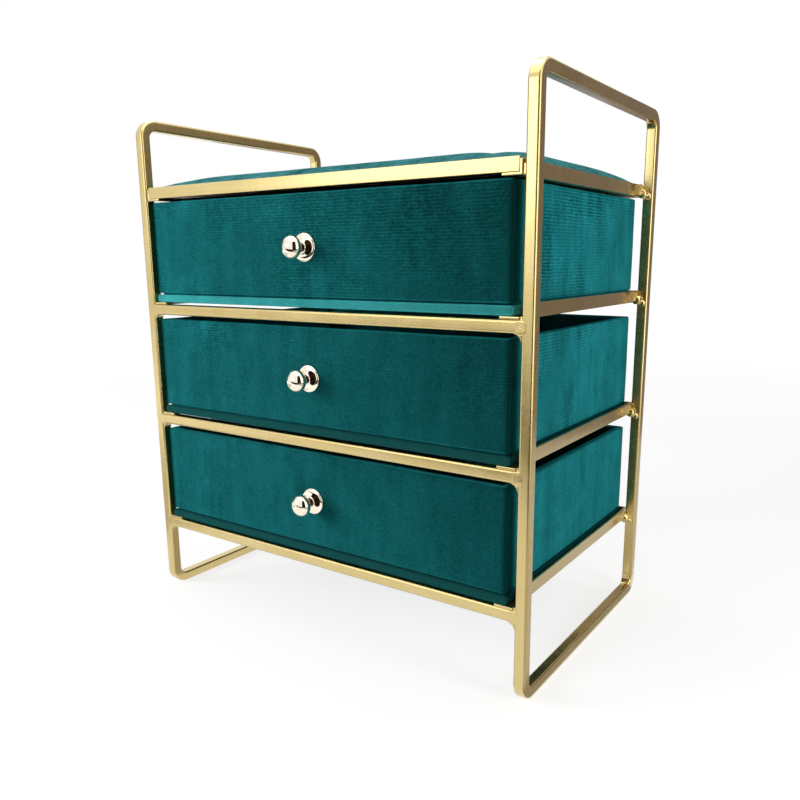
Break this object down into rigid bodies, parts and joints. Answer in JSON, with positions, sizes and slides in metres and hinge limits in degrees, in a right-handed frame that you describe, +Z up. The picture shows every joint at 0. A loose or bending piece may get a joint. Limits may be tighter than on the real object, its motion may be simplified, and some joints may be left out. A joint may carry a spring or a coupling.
{
  "type": "jewelry box with drawers",
  "caption": "Open metal bar frame with two handle-like side loops, carrying a stack of velvet-covered pull-out drawers with ball knobs and a padded velvet top tray.",
  "frame": {"origin": "on the floor, under the middle of the box that the whole object fills", "axes": "+Z up, +X to the right seen from the front, the drawers open towards -Y"},
  "size_m": [0.25, 0.1674, 0.28],
  "materials": {
    "frame": "satin light-gold plating over steel bar and strip",
    "knob": "polished",
    "screw": "zinc plated",
    "board": "raw fibreboard",
    "velvet": "brushed velvet pile",
    "lining": "velvet pile over card",
    "pad": "velvet pile over soft fill"
  },
  "bodies": {
    "frame": {"left_loop": "frame", "right_loop": "frame", "front_welds": "frame", "rear_welds": "frame", "lower_front_bar": "frame", "lower_left_runner": "frame", "lower_right_runner": "frame", "lower_rear_angle": "frame", "middle_front_bar": "frame", "middle_left_runner": "frame", "middle_right_runner": "frame", "middle_rear_angle": "frame", "upper_front_bar": "frame", "upper_left_runner": "frame", "upper_right_runner": "frame", "upper_rear_angle": "frame", "top_left_angle": "frame", "top_right_angle": "frame", "top_front_angle": "frame", "top_rear_angle": "frame", "top_board": "board", "top_pad": "pad"},
    "lower_drawer": {"lower_drawer_front": "board", "lower_drawer_back": "board", "lower_drawer_left": "board", "lower_drawer_right": "board", "lower_drawer_base": "board", "lower_drawer_wrap": "velvet", "lower_base_wrap": "velvet", "lower_drawer_lining": "lining", "lower_knob": "knob", "lower_knob_screw": "screw"},
    "middle_drawer": {"middle_drawer_front": "board", "middle_drawer_back": "board", "middle_drawer_left": "board", "middle_drawer_right": "board", "middle_drawer_base": "board", "middle_drawer_wrap": "velvet", "middle_base_wrap": "velvet", "middle_drawer_lining": "lining", "middle_knob": "knob", "middle_knob_screw": "screw"},
    "upper_drawer": {"upper_drawer_front": "board", "upper_drawer_back": "board", "upper_drawer_left": "board", "upper_drawer_right": "board", "upper_drawer_base": "board", "upper_drawer_wrap": "velvet", "upper_base_wrap": "velvet", "upper_drawer_lining": "lining", "upper_knob": "knob", "upper_knob_screw": "screw"}
  },
  "joints": [
    {"name": "lower_drawer_slide", "type": "slide", "parent": "frame", "child": "lower_drawer", "axis": [0, -1, 0], "range_m": [0, 0.1]},
    {"name": "middle_drawer_slide", "type": "slide", "parent": "frame", "child": "middle_drawer", "axis": [0, -1, 0], "range_m": [0, 0.1]},
    {"name": "upper_drawer_slide", "type": "slide", "parent": "frame", "child": "upper_drawer", "axis": [0, -1, 0], "range_m": [0, 0.1]}
  ]
}
